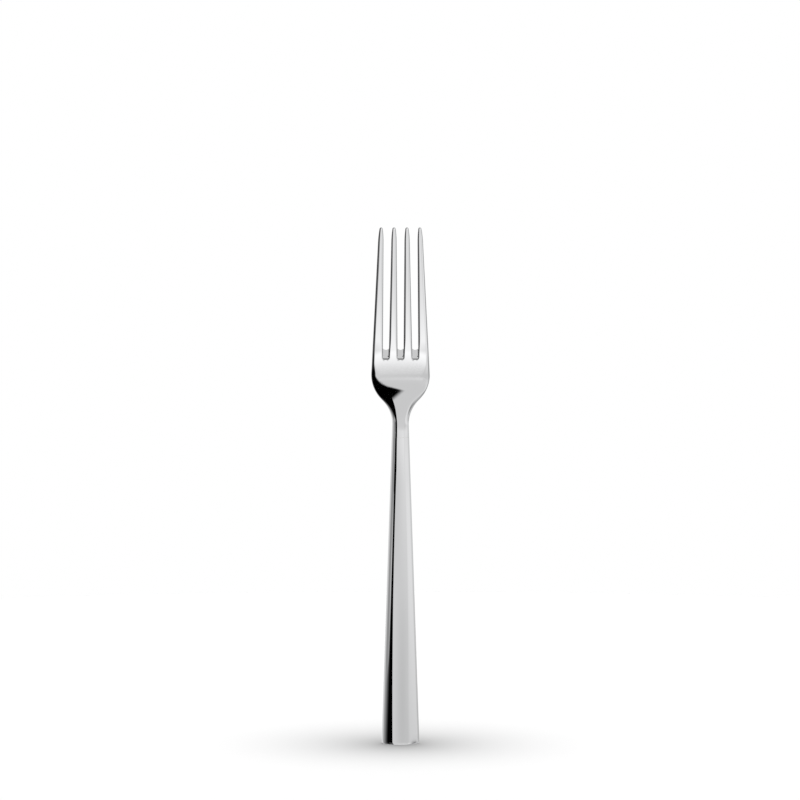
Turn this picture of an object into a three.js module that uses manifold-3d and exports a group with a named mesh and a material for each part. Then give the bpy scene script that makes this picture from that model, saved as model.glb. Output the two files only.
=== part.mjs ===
// Dessert fork with a hollow handle, standing upright on the flat end of its butt.
// A forged head carries four tines and ends below the neck in a spigot and a tang. Two pressed
// shells are brazed rim to rim round the tang, and set bedding compound fills the hollow.
// Millimetres. +Z runs from the butt to the tips, +X to the right as seen from the front,
// and the front, hollow side of the head faces -Y. The origin is the middle of the butt's end.
import * as THREE from 'three';
import Module from 'manifold-3d';

// Handle, from the butt up to its mouth at the neck
const HANDLE_LENGTH = 108;
const BUTT_WIDTH = 13.36;
const BUTT_THICKNESS = 6;
const MOUTH_WIDTH = 6.15;
const MOUTH_THICKNESS = 4.2;
const BUTT_FACET_WIDTH = 6.2; // flat facet down the middle of the front and of the back
const MOUTH_FACET_WIDTH = 2.5;
const CREASE_ANGLE = degrees(22); // turn of the surface where a flank meets the facet
const BUTT_CORNER_RADIUS = 1.4; // seen from the front
const BUTT_EDGE_RADIUS = 0.5; // seen from the side
const SEAM_SETBACK = 0.6; // the seam lies this far behind the middle of the handle's thickness

// Shells, braze and filler
const SHELL_WALL = 0.8;
const BUTT_WALL = 1;
const SEAM_BRAZE_THICKNESS = 0.15;
const NECK_BRAZE_THICKNESS = 0.15;
const BRAZE_CLEARANCE = 0.02;
const FILLER_CLEARANCE = 0.06;

// Spigot and tang, down inside the handle
const SPIGOT_LENGTH = 6;
const SPIGOT_CLEARANCE = 0.1;
const TANG_LENGTH = 48;
const TANG_WIDTH = 3.2;
const TANG_THICKNESS = 1.6;
const TANG_TIP_WIDTH = 1.8;
const TANG_TIP_THICKNESS = 0.9;
const TANG_EDGE = 0.4; // rounding of the tang's long edges

// Head seen from the front
const NECK_LENGTH = 4.9; // the handle's taper runs on this far above the mouth
const SHOULDER_HOLLOW_RADIUS = 11.7;
const SHOULDER_ANGLE = degrees(43.4);
const SHOULDER_STRAIGHT = 1.35;
const SHOULDER_ROUND_RADIUS = 12;
const HEAD_TAPER = degrees(3.06); // the head narrows by this angle towards the tips
const PLATE_LENGTH = 4.2; // from the widest line to the front edge of the slots
const TINE_LENGTH = 46.25;
const EDGE_ROUND = 0.75; // width of the rounding along the edges of the head and the tines
const EDGE_SHARE = 0.42; // that rounding takes at most this share of a tine's width
const EDGE_POWER = 2.5; // how gently the rounding leaves the face

// Flanks and arch of the head, with heights above the mouth
const NECK_BLEND = 11; // up to here the handle's section turns into that of the shoulders
const FLANK_SHARE = 0.56; // a flank takes this share of half the shoulders' width
const FLANK_START = 15; // from here to the end the flanks narrow to the rounding of the edges
const FLANK_END = 27;
const CREASE_START = 14; // from here to the end the creases die out
const CREASE_END = 20;
const ARCH_RADIUS = 160; // the shoulders arch from side to side
const ARCH_START = 18; // from here to the end the arch flattens out
const ARCH_END = 34;

// Front face of the head seen from the side
const BEND_START = 2.2; // above the mouth
const NECK_BEND_RADIUS = 60;
const NECK_LEAN = degrees(14.5); // steepest backward lean
const BOWL_RADIUS = 17;
const PLATE_LEAN = degrees(5); // forward lean where the bowl ends
const PLATE_BEND_RADIUS = 80;
const TINE_LEAN = degrees(11); // forward lean at the foot of the tines
const TINE_BEND_RADIUS = 900;
const PLATE_THICKNESS = 2;
const TIP_THICKNESS = 1.2;
const FRONT_SHARE = 0.3; // share of the thickness that lies in front of the outline

// Slots between the tines
const SLOT_COUNT = 3;
const SLOT_ROOT_WIDTH = 2;
const SLOT_TIP_WIDTH = 2.75;
const SLOT_ROOT_SPACING = 5.2;
const SLOT_TIP_SPACING = 4.5;
const SLOT_CORNER_RADIUS = 0.9;
const SLOT_RAMP = 3.8; // the slot's scooped end rises this far from the front face to the back
const RAMP_DEPTH = 0.65; // the scoop goes down to this share of the thickness
const RAMP_POWER = 1.35; // how much steeper the scoop starts than it ends
const RAMP_FADE = 9; // the ramp dies out over this length of the slot
const TIP_RADIUS = 0.5;
const TIP_TAPER_LENGTH = 4; // the tines narrow faster over this last stretch
const TIP_TAPER = 0.2;
const TIP_CLOSE = 0.7; // the tips lose this share of their thickness

// Fineness of the facets
const FLANK_STEPS = 5;
const FACET_STEPS = 4;
const ROUND_STEPS = 4;
const SHOULDER_STEPS = 18;
const TINE_STEPS = 10;
const TAPER_STEPS = 3;
const HANDLE_STEPS = 6;
const OVERCUT = 1; // cutting shapes run past the faces that they cut

const wasm = await Module();
wasm.setup();

function degrees(value) {
  return THREE.MathUtils.degToRad(value);
}

const mix = THREE.MathUtils.lerp;
const smoothShare = THREE.MathUtils.smoothstep;

function range(from, to, steps) {
  return Array.from({ length: steps + 1 }, (_, step) => mix(from, to, step / steps));
}

// An edge that is rounded by a quarter circle lies this far inside its square corner.
function roundingInset(radius, distance) {
  const inside = Math.max(radius - distance, 0);
  return radius - Math.sqrt(radius * radius - inside * inside);
}

// Distances from an edge at which a quarter-circle rounding turns by equal steps.
function roundingStations(radius) {
  return range(0, Math.PI / 2, ROUND_STEPS).map((turn) => radius * (1 - Math.cos(turn)));
}

function heightOn(run, place) {
  const along = place - run.place;
  if (run.curvature === 0) {
    return run.height + along * Math.tan(run.angle);
  }
  const sine = Math.sin(run.angle) + run.curvature * along;
  return run.height + (Math.cos(run.angle) - Math.sqrt(1 - sine * sine)) / run.curvature;
}

// A smooth outline of straight runs and arcs that meet without corners. A straight run has a
// length, and an arc has a radius and the angle at which it ends. The last run goes on for ever.
function smoothOutline(place, height, angle, pieces) {
  const runs = [];
  const pen = { place, height, angle };
  for (const piece of pieces) {
    const isArc = piece.radius !== undefined;
    const curvature = isArc ? Math.sign(piece.angle - pen.angle) / piece.radius : 0;
    const reach = isArc
      ? (Math.sin(piece.angle) - Math.sin(pen.angle)) / curvature
      : piece.length * Math.cos(pen.angle);
    const run = { ...pen, curvature, end: pen.place + reach };
    runs.push(run);
    pen.height = heightOn(run, run.end);
    pen.place = run.end;
    pen.angle = isArc ? piece.angle : pen.angle;
  }
  const at = (spot) => heightOn(runs.find((run) => spot <= run.end) ?? runs.at(-1), spot);
  return { at, lastBend: runs.at(-1).place };
}

// Depth of a rounded edge as a share, from 1 on the face to 0 at the outline.
function edgeDepth(out) {
  return Math.sqrt(Math.max(1 - out ** EDGE_POWER, 0));
}

// Half of a section, from its left end to its right end, as [across, depth] pairs: a flat facet
// with a round flank on each side. A creased flank is part of an ellipse that leaves the facet at
// the crease angle and is square to the seam. Without a crease the flank is a rounded edge.
function halfSection({ halfWidth, facetHalf, depth, crease }) {
  const flank = range(crease, Math.PI / 2, FLANK_STEPS).map((turn) => {
    const out = (Math.sin(turn) - Math.sin(crease)) / (1 - Math.sin(crease));
    const creased = Math.cos(turn) / Math.cos(crease);
    return [mix(facetHalf, halfWidth, out), depth * mix(edgeDepth(out), creased, crease / CREASE_ANGLE)];
  });
  const facet = range(-facetHalf, facetHalf, FACET_STEPS).slice(1, -1).map((across) => [across, depth]);
  const mirrored = flank.map(([across, depthThere]) => [-across, depthThere]).reverse();
  return [...mirrored, ...facet, ...flank];
}

// A whole section as a ring of [x, y, z], anticlockwise from above: front half, then back half.
function ring(z, seam, front, back, bend = () => 0) {
  const frontHalf = halfSection(front).map(([x, depth]) => [x, seam - depth]);
  const backHalf = halfSection(back).map(([x, depth]) => [x, seam + depth]);
  const points = [...frontHalf, ...backHalf.reverse().slice(1, -1)];
  return points.map(([x, y]) => [x, y + bend(x), z]);
}

// A closed surface through a stack of rings, with flat ends.
function loft(rings) {
  const count = rings[0].length;
  const positions = rings.flat(2);
  const index = [];
  for (let level = 0; level + 1 < rings.length; level += 1) {
    for (let side = 0; side < count; side += 1) {
      const next = (side + 1) % count;
      const a = level * count + side;
      const b = level * count + next;
      index.push(a, b, b + count, a, b + count, a + count);
    }
  }
  const capOf = (points) => {
    const outline = points.map(([x, y]) => new THREE.Vector2(x, y));
    return THREE.ShapeUtils.triangulateShape(outline, []);
  };
  const top = (rings.length - 1) * count;
  for (const [a, b, c] of capOf(rings[0])) {
    index.push(a, c, b);
  }
  for (const [a, b, c] of capOf(rings.at(-1))) {
    index.push(top + a, top + b, top + c);
  }
  const geometry = new THREE.BufferGeometry();
  geometry.setAttribute('position', new THREE.Float32BufferAttribute(positions, 3));
  geometry.setIndex(index);
  return geometry;
}

function toSolid(geometry) {
  return new wasm.Manifold(new wasm.Mesh({
    numProp: 3,
    vertProperties: new Float32Array(geometry.getAttribute('position').array),
    triVerts: new Uint32Array(geometry.getIndex().array),
  }));
}

function toGeometry(solid) {
  const { vertProperties, triVerts } = solid.getMesh();
  const geometry = new THREE.BufferGeometry();
  geometry.setAttribute('position', new THREE.BufferAttribute(vertProperties, 3));
  geometry.setIndex(new THREE.BufferAttribute(triVerts, 1));
  return geometry;
}

// Handle sizes at a height above the butt, before the butt is rounded. Front and back depths are
// measured from the seam.
function handleAt(z) {
  const share = z / HANDLE_LENGTH;
  const halfThickness = mix(BUTT_THICKNESS, MOUTH_THICKNESS, share) / 2;
  return {
    halfWidth: mix(BUTT_WIDTH, MOUTH_WIDTH, share) / 2,
    facetHalf: mix(BUTT_FACET_WIDTH, MOUTH_FACET_WIDTH, share) / 2,
    frontDepth: halfThickness + SEAM_SETBACK,
    backDepth: halfThickness - SEAM_SETBACK,
  };
}

// The handle's section shrunk by a wall, with the facets narrowed in proportion.
function handleHalf(z, side, wall) {
  const handle = handleAt(z);
  const halfWidth = handle.halfWidth - wall;
  return {
    halfWidth,
    facetHalf: handle.facetHalf * (halfWidth / handle.halfWidth),
    depth: (side === 'front' ? handle.frontDepth : handle.backDepth) - wall,
    crease: CREASE_ANGLE,
  };
}

const seamHalfGap = SEAM_BRAZE_THICKNESS / 2 + BRAZE_CLEARANCE;

// One pressed shell: the outer form of half the handle with rounded butt, less the hollow.
function shell(side) {
  const outward = side === 'front' ? -1 : 1;
  const rim = SEAM_SETBACK + outward * seamHalfGap;
  const place = (points, z) => {
    const placed = points.map(([x, depth]) => [x, rim + outward * depth, z]);
    return outward < 0 ? placed : placed.reverse();
  };
  const outerRing = (z) => {
    const half = handleHalf(z, side, 0);
    half.halfWidth -= roundingInset(BUTT_CORNER_RADIUS, z);
    half.depth -= roundingInset(BUTT_EDGE_RADIUS, z) + seamHalfGap;
    return place(halfSection(half), z);
  };
  const hollowRing = (z) => {
    const half = handleHalf(z, side, SHELL_WALL);
    half.depth -= seamHalfGap;
    const open = halfSection(half);
    return place([[-half.halfWidth, -OVERCUT], ...open, [half.halfWidth, -OVERCUT]], z);
  };
  const buttHeights = [...roundingStations(BUTT_CORNER_RADIUS), BUTT_EDGE_RADIUS];
  const straightHeights = range(BUTT_CORNER_RADIUS, HANDLE_LENGTH, HANDLE_STEPS).slice(1);
  const heights = [...new Set([...buttHeights, ...straightHeights])].sort((a, b) => a - b);
  const outer = toSolid(loft(heights.map(outerRing)));
  const hollow = toSolid(loft(range(BUTT_WALL, HANDLE_LENGTH + OVERCUT, HANDLE_STEPS).map(hollowRing)));
  return toGeometry(outer.subtract(hollow));
}

// The braze along the seam: a flat U that follows the rims down one side, round the butt and up.
function seamBraze() {
  const mouth = handleAt(HANDLE_LENGTH).halfWidth;
  const corner = BUTT_CORNER_RADIUS;
  const buttHalf = (z) => handleAt(z).halfWidth - roundingInset(corner, z);
  const cornerHeights = roundingStations(corner);
  const side = [...cornerHeights.map((z) => [buttHalf(z), z]), [mouth, HANDLE_LENGTH]];
  const inside = [
    [mouth - SHELL_WALL, HANDLE_LENGTH],
    [handleAt(BUTT_WALL).halfWidth - SHELL_WALL, BUTT_WALL],
  ];
  const right = [...side, ...inside];
  const left = right.map(([x, z]) => [-x, z]).reverse();
  const shape = new THREE.Shape([...right, ...left].map(([x, z]) => new THREE.Vector2(x, z)));
  const geometry = new THREE.ExtrudeGeometry(shape, { depth: SEAM_BRAZE_THICKNESS, bevelEnabled: false });
  geometry.rotateX(Math.PI / 2);
  geometry.translate(0, SEAM_SETBACK + SEAM_BRAZE_THICKNESS / 2, 0);
  return geometry;
}

// The spigot fills the mouth of the handle but for its clearance, and keeps that size to its foot.
function spigotRing(z, clearance) {
  const front = handleHalf(HANDLE_LENGTH, 'front', SHELL_WALL + clearance);
  const back = handleHalf(HANDLE_LENGTH, 'back', SHELL_WALL + clearance);
  return ring(z, SEAM_SETBACK, front, back);
}

// The braze ring between the mouth of the shells and the neck's shoulder.
function neckBraze() {
  const foot = HANDLE_LENGTH + BRAZE_CLEARANCE;
  const head = foot + NECK_BRAZE_THICKNESS;
  const outerRing = (z) => ring(
    z,
    SEAM_SETBACK,
    handleHalf(HANDLE_LENGTH, 'front', 0),
    handleHalf(HANDLE_LENGTH, 'back', 0),
  );
  const outer = toSolid(loft([foot, head].map(outerRing)));
  const bore = toSolid(loft([foot - OVERCUT, head + OVERCUT].map((z) => spigotRing(z, 0))));
  return toGeometry(outer.subtract(bore));
}

const neckFoot = HANDLE_LENGTH + NECK_BRAZE_THICKNESS + 2 * BRAZE_CLEARANCE;
const spigotFoot = HANDLE_LENGTH - SPIGOT_LENGTH;
const tangTip = spigotFoot - TANG_LENGTH;

// The tang narrows from the spigot's foot to its tip, in the middle of the handle's thickness.
// A clearance makes the socket round it.
function tangRing(z, clearance) {
  const share = (spigotFoot - z) / TANG_LENGTH;
  const halfWidth = mix(TANG_WIDTH, TANG_TIP_WIDTH, share) / 2 + clearance;
  const half = {
    halfWidth,
    facetHalf: halfWidth - TANG_EDGE,
    depth: mix(TANG_THICKNESS, TANG_TIP_THICKNESS, share) / 2 + clearance,
    crease: 0,
  };
  return ring(z, 0, half, half);
}

// Bedding compound: the hollow of the handle below the spigot, with a socket for the tang.
function filler() {
  const wall = SHELL_WALL + FILLER_CLEARANCE;
  const foot = BUTT_WALL + FILLER_CLEARANCE;
  const head = spigotFoot - FILLER_CLEARANCE;
  const bodyRing = (z) => ring(z, SEAM_SETBACK, handleHalf(z, 'front', wall), handleHalf(z, 'back', wall));
  const body = toSolid(loft(range(foot, head, HANDLE_STEPS).map(bodyRing)));
  const socketRing = (z) => tangRing(z, FILLER_CLEARANCE);
  const socket = toSolid(loft([tangTip - FILLER_CLEARANCE, spigotFoot + OVERCUT].map(socketRing)));
  return toGeometry(body.subtract(socket));
}

// Half the width of the head at a height, from the mouth up to the tips.
const handleTaper = Math.atan((BUTT_WIDTH - MOUTH_WIDTH) / 2 / HANDLE_LENGTH);
const headOutline = smoothOutline(HANDLE_LENGTH, MOUTH_WIDTH / 2, -handleTaper, [
  { length: NECK_LENGTH },
  { radius: SHOULDER_HOLLOW_RADIUS, angle: SHOULDER_ANGLE },
  { length: SHOULDER_STRAIGHT },
  { radius: SHOULDER_ROUND_RADIUS, angle: -HEAD_TAPER },
  { length: PLATE_LENGTH + TINE_LENGTH },
]);
const widest = headOutline.lastBend;
const slotRoot = widest + PLATE_LENGTH;
const tips = slotRoot + TINE_LENGTH;

// How far back the front face of the head lies at a height. It goes on from the handle's facet.
const facetLean = Math.atan((BUTT_THICKNESS - MOUTH_THICKNESS) / 2 / HANDLE_LENGTH);
const faceOutline = smoothOutline(HANDLE_LENGTH, -MOUTH_THICKNESS / 2, facetLean, [
  { length: BEND_START },
  { radius: NECK_BEND_RADIUS, angle: NECK_LEAN },
  { radius: BOWL_RADIUS, angle: -PLATE_LEAN },
  { radius: PLATE_BEND_RADIUS, angle: -TINE_LEAN },
  { radius: TINE_BEND_RADIUS, angle: -Math.PI / 2 },
]);

function tipNarrowing(z) {
  const share = Math.max(z - (tips - TIP_TAPER_LENGTH), 0) / TIP_TAPER_LENGTH;
  return TIP_TAPER * share * share + roundingInset(TIP_RADIUS, Math.max(tips - z, 0));
}

// Depths of the head in front of and behind its outline, and where the outline lies, from the
// handle's depths at the neck to the thickness of the plate and the tines.
function headDepths(z) {
  const neck = handleAt(z);
  const plateShare = smoothShare(z, HANDLE_LENGTH, widest);
  const thickness = mix(PLATE_THICKNESS, TIP_THICKNESS, Math.max(z - widest, 0) / (tips - widest));
  const front = mix(neck.frontDepth, FRONT_SHARE * thickness, plateShare);
  const back = mix(neck.backDepth, (1 - FRONT_SHARE) * thickness, plateShare);
  return { front, back, outline: faceOutline.at(z) + front };
}

function headArch(z, x) {
  const above = z - HANDLE_LENGTH;
  const share = smoothShare(above, 0, NECK_BLEND) * (1 - smoothShare(above, ARCH_START, ARCH_END));
  return share * x * x / (2 * ARCH_RADIUS);
}

// Half the width of a slot and the spacing between slots at a height above their roots.
function slotAt(z) {
  const share = (z - slotRoot) / TINE_LENGTH;
  return {
    halfWidth: mix(SLOT_ROOT_WIDTH, SLOT_TIP_WIDTH, share) / 2 + tipNarrowing(z),
    spacing: mix(SLOT_ROOT_SPACING, SLOT_TIP_SPACING, share),
  };
}

// Width of the rounding along the edges, less where the tines get narrow.
function edgeRound(z) {
  const slot = slotAt(z);
  const innerTine = slot.spacing - 2 * slot.halfWidth;
  const outerTine = headOutline.at(z) - tipNarrowing(z) - slot.spacing - slot.halfWidth;
  return Math.min(EDGE_ROUND, EDGE_SHARE * Math.min(innerTine, outerTine));
}

function headRing(z) {
  const above = z - HANDLE_LENGTH;
  const neck = handleAt(z);
  const halfWidth = headOutline.at(z) - tipNarrowing(z);
  const neckFlank = neck.halfWidth - neck.facetHalf;
  const shoulderFlank = mix(neckFlank, FLANK_SHARE * halfWidth, smoothShare(above, 0, NECK_BLEND));
  const edge = edgeRound(Math.max(z, slotRoot));
  const flank = mix(shoulderFlank, edge, smoothShare(above, FLANK_START, FLANK_END));
  const crease = CREASE_ANGLE * (1 - smoothShare(above, CREASE_START, CREASE_END));
  const tipShare = 1 - TIP_CLOSE * roundingInset(TIP_RADIUS, tips - z) / TIP_RADIUS;
  const { front, back, outline } = headDepths(z);
  const half = (depth) => ({ halfWidth, facetHalf: halfWidth - flank, depth: depth * tipShare, crease });
  return ring(z, outline, half(front), half(back), (x) => headArch(z, x));
}

// One slot between two tines as a cutting shape. Its sides are round towards both faces, so they
// leave rounded edges, its foot has rounded corners and a scoop, and it opens out at the tips.
function slotCutter(offset) {
  const slotRing = (z) => {
    const slot = slotAt(z);
    const middle = offset * slot.spacing;
    const halfWidth = slot.halfWidth - roundingInset(SLOT_CORNER_RADIUS, z - slotRoot);
    const edge = edgeRound(z);
    const { front, back } = headDepths(z);
    const side = (depth) => range(0, Math.PI / 2, FLANK_STEPS).map((turn) => [
      halfWidth + edge * (1 - Math.sin(turn)),
      depth * edgeDepth(Math.sin(turn)),
    ]);
    const wall = [
      [halfWidth + edge, -front - OVERCUT],
      ...side(-front),
      ...side(back).reverse().slice(1),
      [halfWidth + edge, back + OVERCUT],
    ];
    const loop = [...wall, ...wall.map(([across, depth]) => [-across, depth]).reverse()];
    const fade = 1 - smoothShare(z, slotRoot, slotRoot + RAMP_FADE);
    return loop.map(([across, depth]) => {
      const down = (depth + front) / (front + back) / RAMP_DEPTH;
      const along = 1 - (1 - THREE.MathUtils.clamp(down, 0, 1)) ** (1 / RAMP_POWER);
      const height = z + SLOT_RAMP * fade * along;
      return [middle + across, headDepths(height).outline + headArch(height, middle) + depth, height];
    });
  };
  const rounded = roundingStations(SLOT_CORNER_RADIUS).map((distance) => slotRoot + distance);
  const straight = range(slotRoot + SLOT_CORNER_RADIUS, tips - TIP_TAPER_LENGTH, TINE_STEPS).slice(1);
  const heights = [...rounded, ...straight, ...tipHeights(), tips + OVERCUT];
  return toSolid(loft(heights.map(slotRing)));
}

// Heights at which the last stretch of the tines is drawn.
function tipHeights() {
  const narrowing = range(tips - TIP_TAPER_LENGTH, tips - TIP_RADIUS, TAPER_STEPS).slice(1);
  const rounding = roundingStations(TIP_RADIUS).map((distance) => tips - distance).reverse();
  return [...narrowing, ...rounding.slice(1)];
}

function forkHead() {
  const shoulder = range(neckFoot, widest, SHOULDER_STEPS);
  const straight = range(widest, tips - TIP_TAPER_LENGTH, TINE_STEPS).slice(1);
  const blank = toSolid(loft([
    tangRing(tangTip, 0),
    tangRing(spigotFoot, 0),
    spigotRing(spigotFoot, SPIGOT_CLEARANCE),
    spigotRing(neckFoot, SPIGOT_CLEARANCE),
    ...[...shoulder, ...straight, ...tipHeights()].map(headRing),
  ]));
  const firstOffset = (1 - SLOT_COUNT) / 2;
  const cutters = Array.from({ length: SLOT_COUNT }, (_, slot) => slotCutter(firstOffset + slot));
  return toGeometry(cutters.reduce((head, cutter) => head.subtract(cutter), blank));
}

const steel = new THREE.MeshStandardMaterial({ color: 0xc4c6c8, roughness: 0.14, metalness: 1 });
const braze = new THREE.MeshStandardMaterial({ color: 0xb9b7ae, roughness: 0.3, metalness: 1 });
const bedding = new THREE.MeshStandardMaterial({ color: 0x8c877c, roughness: 0.9, metalness: 0 });

const fork = new THREE.Group();
fork.name = 'dessert_fork';

function addPiece(name, geometry, material) {
  geometry.computeVertexNormals();
  const piece = new THREE.Mesh(geometry, material);
  piece.name = name;
  fork.add(piece);
}

addPiece('fork_head', forkHead(), steel);
addPiece('handle_front_shell', shell('front'), steel);
addPiece('handle_back_shell', shell('back'), steel);
addPiece('seam_braze', seamBraze(), braze);
addPiece('neck_braze_ring', neckBraze(), braze);
addPiece('handle_filler', filler(), bedding);

export default fork;
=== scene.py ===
"""A polished dessert fork with a hollow handle, standing upright on its butt in a white studio.

The head, the two handle shells and the braze ring at the neck get fine skins here, drawn with nearly
the same sizes as their solids. The seam braze and the filler keep their solids and get finishes.
Metres. +Z runs from the butt to the tips and the front of the fork faces -Y.
"""
import math

import bmesh
import bpy
import numpy as np
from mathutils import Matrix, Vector


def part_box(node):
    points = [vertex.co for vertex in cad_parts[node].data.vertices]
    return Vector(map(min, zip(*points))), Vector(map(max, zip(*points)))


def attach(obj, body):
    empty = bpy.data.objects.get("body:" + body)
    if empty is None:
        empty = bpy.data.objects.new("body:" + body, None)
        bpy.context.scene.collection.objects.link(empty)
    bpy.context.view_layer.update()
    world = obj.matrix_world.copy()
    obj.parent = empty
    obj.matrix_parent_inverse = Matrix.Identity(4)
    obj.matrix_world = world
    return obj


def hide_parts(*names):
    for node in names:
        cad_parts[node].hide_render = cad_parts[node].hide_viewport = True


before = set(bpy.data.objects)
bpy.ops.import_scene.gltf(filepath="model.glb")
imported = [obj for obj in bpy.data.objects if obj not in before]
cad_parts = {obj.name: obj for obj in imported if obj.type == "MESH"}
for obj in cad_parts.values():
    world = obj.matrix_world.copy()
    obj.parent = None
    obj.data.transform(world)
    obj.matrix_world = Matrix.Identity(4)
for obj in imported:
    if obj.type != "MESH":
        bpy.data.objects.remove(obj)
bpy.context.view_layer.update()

MM = 0.001
_, front_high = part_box("handle_front_shell")
seam_low, seam_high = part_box("seam_braze")
ring_low, ring_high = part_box("neck_braze_ring")
head_low, head_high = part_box("fork_head")

# Handle
MOUTH = front_high.z
TIPS = head_high.z
SEAM = (seam_low.y + seam_high.y) / 2
HAIRLINE_GAP = 0.002 * MM
FRONT_RIM = seam_low.y - HAIRLINE_GAP
BACK_RIM = seam_high.y + HAIRLINE_GAP
BUTT_WIDTH = 13.36 * MM
BUTT_THICKNESS = 6 * MM
MOUTH_WIDTH = 6.15 * MM
MOUTH_THICKNESS = 4.2 * MM
BUTT_FACET_WIDTH = 6.2 * MM
MOUTH_FACET_WIDTH = 2.5 * MM
CREASE_ANGLE = math.radians(22)
FACET_CROWN = math.radians(3)
CREASE_DRAW = 0.28 * MM
CREASE_BOW = 0.5 * MM
CREASE_BOW_END = 0.9
BUTT_CORNER_RADIUS = 1 * MM
BUTT_EDGE_RADIUS = 0.18 * MM
SHELL_WALL = 0.8 * MM
BUTT_WALL = 1 * MM

# Spigot and tang inside the handle
SPIGOT_LENGTH = 6 * MM
SPIGOT_CLEARANCE = 0.1 * MM
TANG_TIP = head_low.z
TANG_WIDTH = 3.2 * MM
TANG_THICKNESS = 1.6 * MM
TANG_TIP_WIDTH = 1.8 * MM
TANG_TIP_THICKNESS = 0.9 * MM
TANG_EDGE = 0.4 * MM

# Head seen from the front
NECK_FOOT = ring_high.z + (ring_low.z - MOUTH)
NECK_LENGTH = 4.5 * MM
SHOULDER_HOLLOW_RADIUS = 11.7 * MM
SHOULDER_ANGLE = math.radians(43.4)
SHOULDER_STRAIGHT = 1.35 * MM
SHOULDER_ROUND_RADIUS = 12 * MM
HEAD_TAPER = math.radians(3.06)
PLATE_LENGTH = 4.6 * MM
EDGE_ROUND = 0.92 * MM
EDGE_SHARE = 0.42
OUTER_EDGE_SHARE = 1.25
EDGE_POWER = 2.5
FLANK_SHARE = 0.56
NECK_BLEND = 11 * MM
CREASE_START = 14 * MM
CREASE_END = 20 * MM
FLANK_START = 15 * MM
FLANK_END = 27 * MM
ARCH_RADIUS = 160 * MM
ARCH_START = 18 * MM
ARCH_END = 34 * MM

# Front face of the head seen from the side
BEND_START = 2.2 * MM
NECK_BEND_RADIUS = 60 * MM
NECK_LEAN = math.radians(14.5)
BOWL_RADIUS = 17 * MM
PLATE_LEAN = math.radians(5)
PLATE_BEND_RADIUS = 80 * MM
TINE_LEAN = math.radians(11)
TINE_BEND_RADIUS = 900 * MM
PLATE_THICKNESS = 2 * MM
TIP_THICKNESS = 1.2 * MM
FRONT_SHARE = 0.3

# Slots between the tines
SLOT_OFFSETS = (-1, 0, 1)
SLOT_ROOT_WIDTH = 2 * MM
SLOT_TIP_WIDTH = 2.75 * MM
SLOT_ROOT_SPACING = 5.2 * MM
SLOT_TIP_SPACING = 4.5 * MM
SLOT_CORNER_RADIUS = 0.9 * MM
SLOT_RAMP = 4 * MM
RAMP_DEPTH = 0.68
RAMP_DIP = 0.45 * MM
ROOT_DROP = 0.22
ROOT_DROP_RUN = 0.7 * MM
ROOT_EDGE_SHARE = 0.5
ROOT_EDGE_RUN = 4 * MM
BACK_EDGE = 0.25 * MM
TIP_RADIUS = 0.5 * MM
TIP_TAPER_LENGTH = 5 * MM
TIP_TAPER = 0.36 * MM

# Fineness of the skins
FLANK_STEPS = 14
FACET_STEPS = 10
CREASE_SUPPORT = 0.012
ROUND_STEPS = 8
TINE_FLAT_STEPS = 6
SLOT_STEPS = 6
SLOT_SUPPORT = 0.04
HANDLE_ROWS = 40
SHOULDER_ROWS = 64
PLATE_ROWS = 12
RAMP_ROWS = 12
TINE_ROWS = 48
TAPER_ROWS = 8
HEIGHT_DIGITS = 9
JOIN_DISTANCE = 1e-7
SHARP_ANGLE = math.radians(40)

# Finishes. A noise has a fineness per metre and a detail, and most of it lies in NOISE_RANGE.
NOISE_RANGE = (0.3, 0.7)
NOISE_MIDDLE = (0.5, 0.5, 0.5)
STEEL_COLOUR = (0.78, 0.782, 0.788, 1)
STEEL_ROUGHNESS = (0.015, 0.03)
STEEL_CLOUDS = (160, 2)
HAIRLINE_FINENESS = (9000, 9000, 90)
HAIRLINE_DETAIL = 3
HAIRLINE_STRENGTH = 0.015
HAIRLINE_DEPTH = 0.01 * MM
BRAZE_COLOURS = ((0.765, 0.762, 0.755, 1), (0.785, 0.783, 0.778, 1))
BRAZE_ROUGHNESS = (0.05, 0.1)
BRAZE_GRAIN = (4000, 3)
COMPOUND_COLOURS = ((0.2, 0.18, 0.15, 1), (0.36, 0.34, 0.3, 1))
COMPOUND_ROUGHNESS = 0.9
COMPOUND_GRIT = (900, 6)
GRIT_STRENGTH = 0.4
GRIT_DEPTH = 0.2 * MM

# Fine scuffs of the steel in the hollow of the head
BOWL_HEIGHT = 22.8 * MM
BOWL_REACH = 6 * MM
BOWL_SCUFF = 0.09
BOWL_SIDE = (6.5 * MM, 8.5 * MM)

# Camera: in front of the fork, higher than its middle and tilted slightly down
CAMERA_DISTANCE = 1.05
CAMERA_HEIGHT = 148 * MM
CAMERA_AIM = 121.3 * MM
CAMERA_ASIDE = -0.18 * MM
FRAME_WIDTH = 281.4 * MM
SENSOR = 36

# Studio
FLOOR_RADIUS = 0.6
FLOOR_SIDES = 96
FLOOR_WHITE = 0.97
FLOOR_ROUGHNESS = 0.9
FLOOR_SHINE = 0.1
# Painted shade round the butt, darkening the floor's colour: how dark it is, how fast it fades and the
# radius where it ends
PAINTED_SHADE_STRENGTH = 0.55
PAINTED_SHADE_LENGTH = 30 * MM
PAINTED_SHADE_RADIUS = 68 * MM
DIFFUSE_LIGHT = 1.06

# What the steel reflects, by direction in degrees: UP above the horizon, ROUND from the camera to the right.
# A step has a start, an end and the levels there. A spot has a middle and a reach.
# Wall in front of the fork, with a bright table below and a dark ceiling
WALL_UP = (-4.5, -2.5, 0.77, 0.71)
WALL_RISE_UP = (-2, 0, 0, 0.05)
WALL_FALL_UP = (1, 14, 0, -0.03)
TABLE_UP = (-23, -8, 0.5, 0)
TABLE_END_UP = (-24.5, -21.5, -0.32, 0)
TABLE_BOW_UP = (-12, -8, 0.12, 0)
TABLE_BOW_REACH = 6.5
CEILING_UP = (28, 34, 0, -0.42)
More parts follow.
